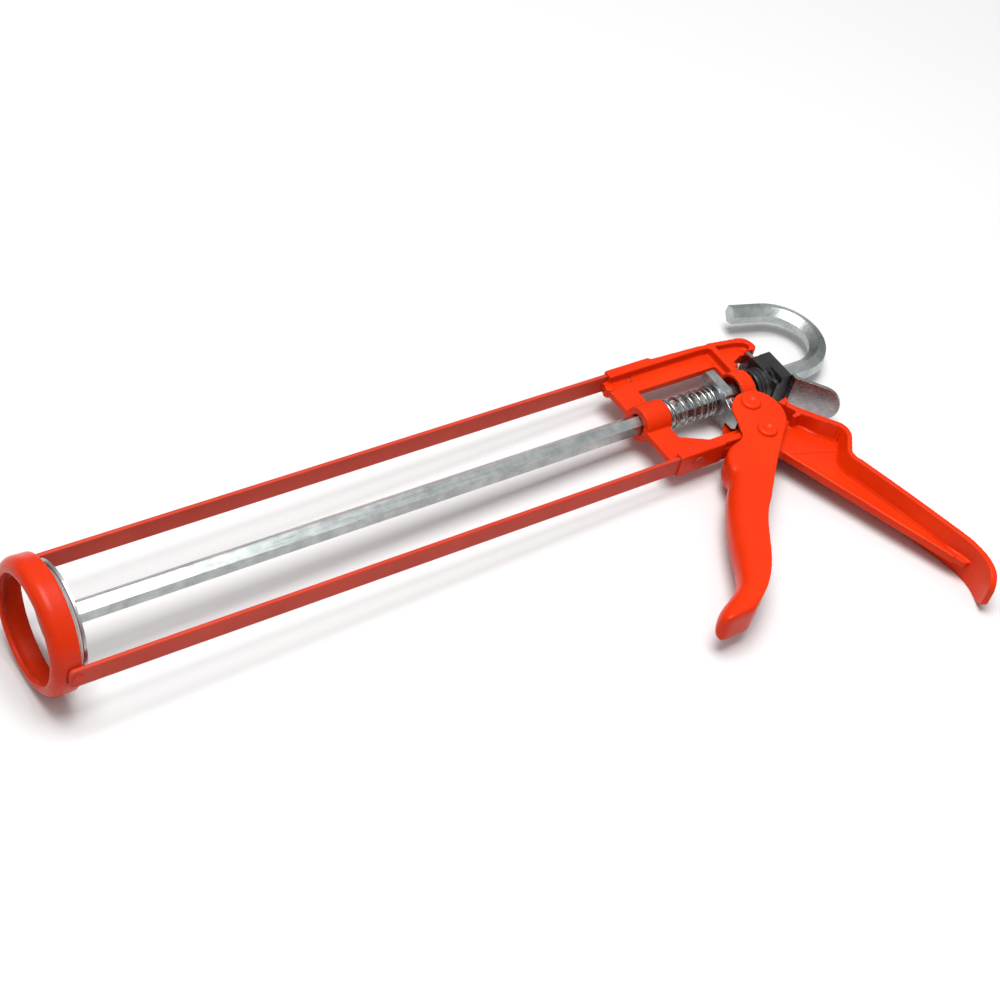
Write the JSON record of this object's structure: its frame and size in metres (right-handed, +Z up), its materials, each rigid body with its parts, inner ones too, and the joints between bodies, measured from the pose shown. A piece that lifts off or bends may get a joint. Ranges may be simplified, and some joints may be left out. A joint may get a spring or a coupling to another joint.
{
  "type": "skeleton caulking gun",
  "caption": "Skeleton caulking gun: front ring on flat rails, cast body with handle, squeeze trigger, hexagonal push rod with hook and piston, and thumb release.",
  "frame": {"origin": "on the barrel axis, at the rear edge of the front ring", "axes": "the gun lies on its right side: +X runs back along the barrel from ring to hook, +Y points away from the handle, +Z is up out of the gun's left side"},
  "size_m": [0.4235, 0.202, 0.0568],
  "materials": {
    "orange_paint": "gloss",
    "rail_paint": "satin",
    "zinc_steel": "zinc plated",
    "spring_steel": "bright drawn wire",
    "black_plastic": "moulded"
  },
  "bodies": {
    "frame": {"front_ring": "orange_paint", "rail_upper": "rail_paint", "rail_lower": "rail_paint", "ring_rivets": "rail_paint", "rail_rivets": "orange_paint", "body_casting": "orange_paint", "drive_spring": "spring_steel", "release_spring": "spring_steel"},
    "rod": {"pull_rod": "zinc_steel", "piston_disc": "zinc_steel", "piston_backing": "zinc_steel", "piston_nut": "zinc_steel"},
    "trigger": {"trigger": "orange_paint", "pivot_rivet": "orange_paint", "drive_pin": "orange_paint", "drive_roller": "zinc_steel"},
    "drive": {"drive_plate_front": "zinc_steel", "drive_plate_rear": "zinc_steel", "spring_washer": "zinc_steel"},
    "release": {"release_lever": "zinc_steel", "brake_block": "black_plastic"}
  },
  "joints": [
    {"name": "trigger_hinge", "type": "hinge", "parent": "frame", "child": "trigger", "pos_m": [0.3354, -0.0327, 0], "axis": [0, 0, 1], "range_deg": [0, 28], "stiffness_Nm_per_rad": 1.2, "springref_deg": -8.59},
    {"name": "drive_slide", "type": "slide", "parent": "frame", "child": "drive", "axis": [-1, 0, 0], "range_m": [0, 0.009], "deforming": ["drive_spring"]},
    {"name": "rod_slide", "type": "slide", "parent": "frame", "child": "rod", "axis": [1, 0, 0], "range_m": [0, 0.279]},
    {"name": "release_hinge", "type": "hinge", "parent": "frame", "child": "release", "pos_m": [0.3623, 0.016, 0], "axis": [0, 0, -1], "range_deg": [0, 5], "stiffness_Nm_per_rad": 1, "springref_deg": -5.73, "deforming": ["release_spring"]}
  ],
  "couplings": [
    {"joint": "drive_slide", "follows": "trigger_hinge", "m_per_rad": 0.01772}
  ]
}
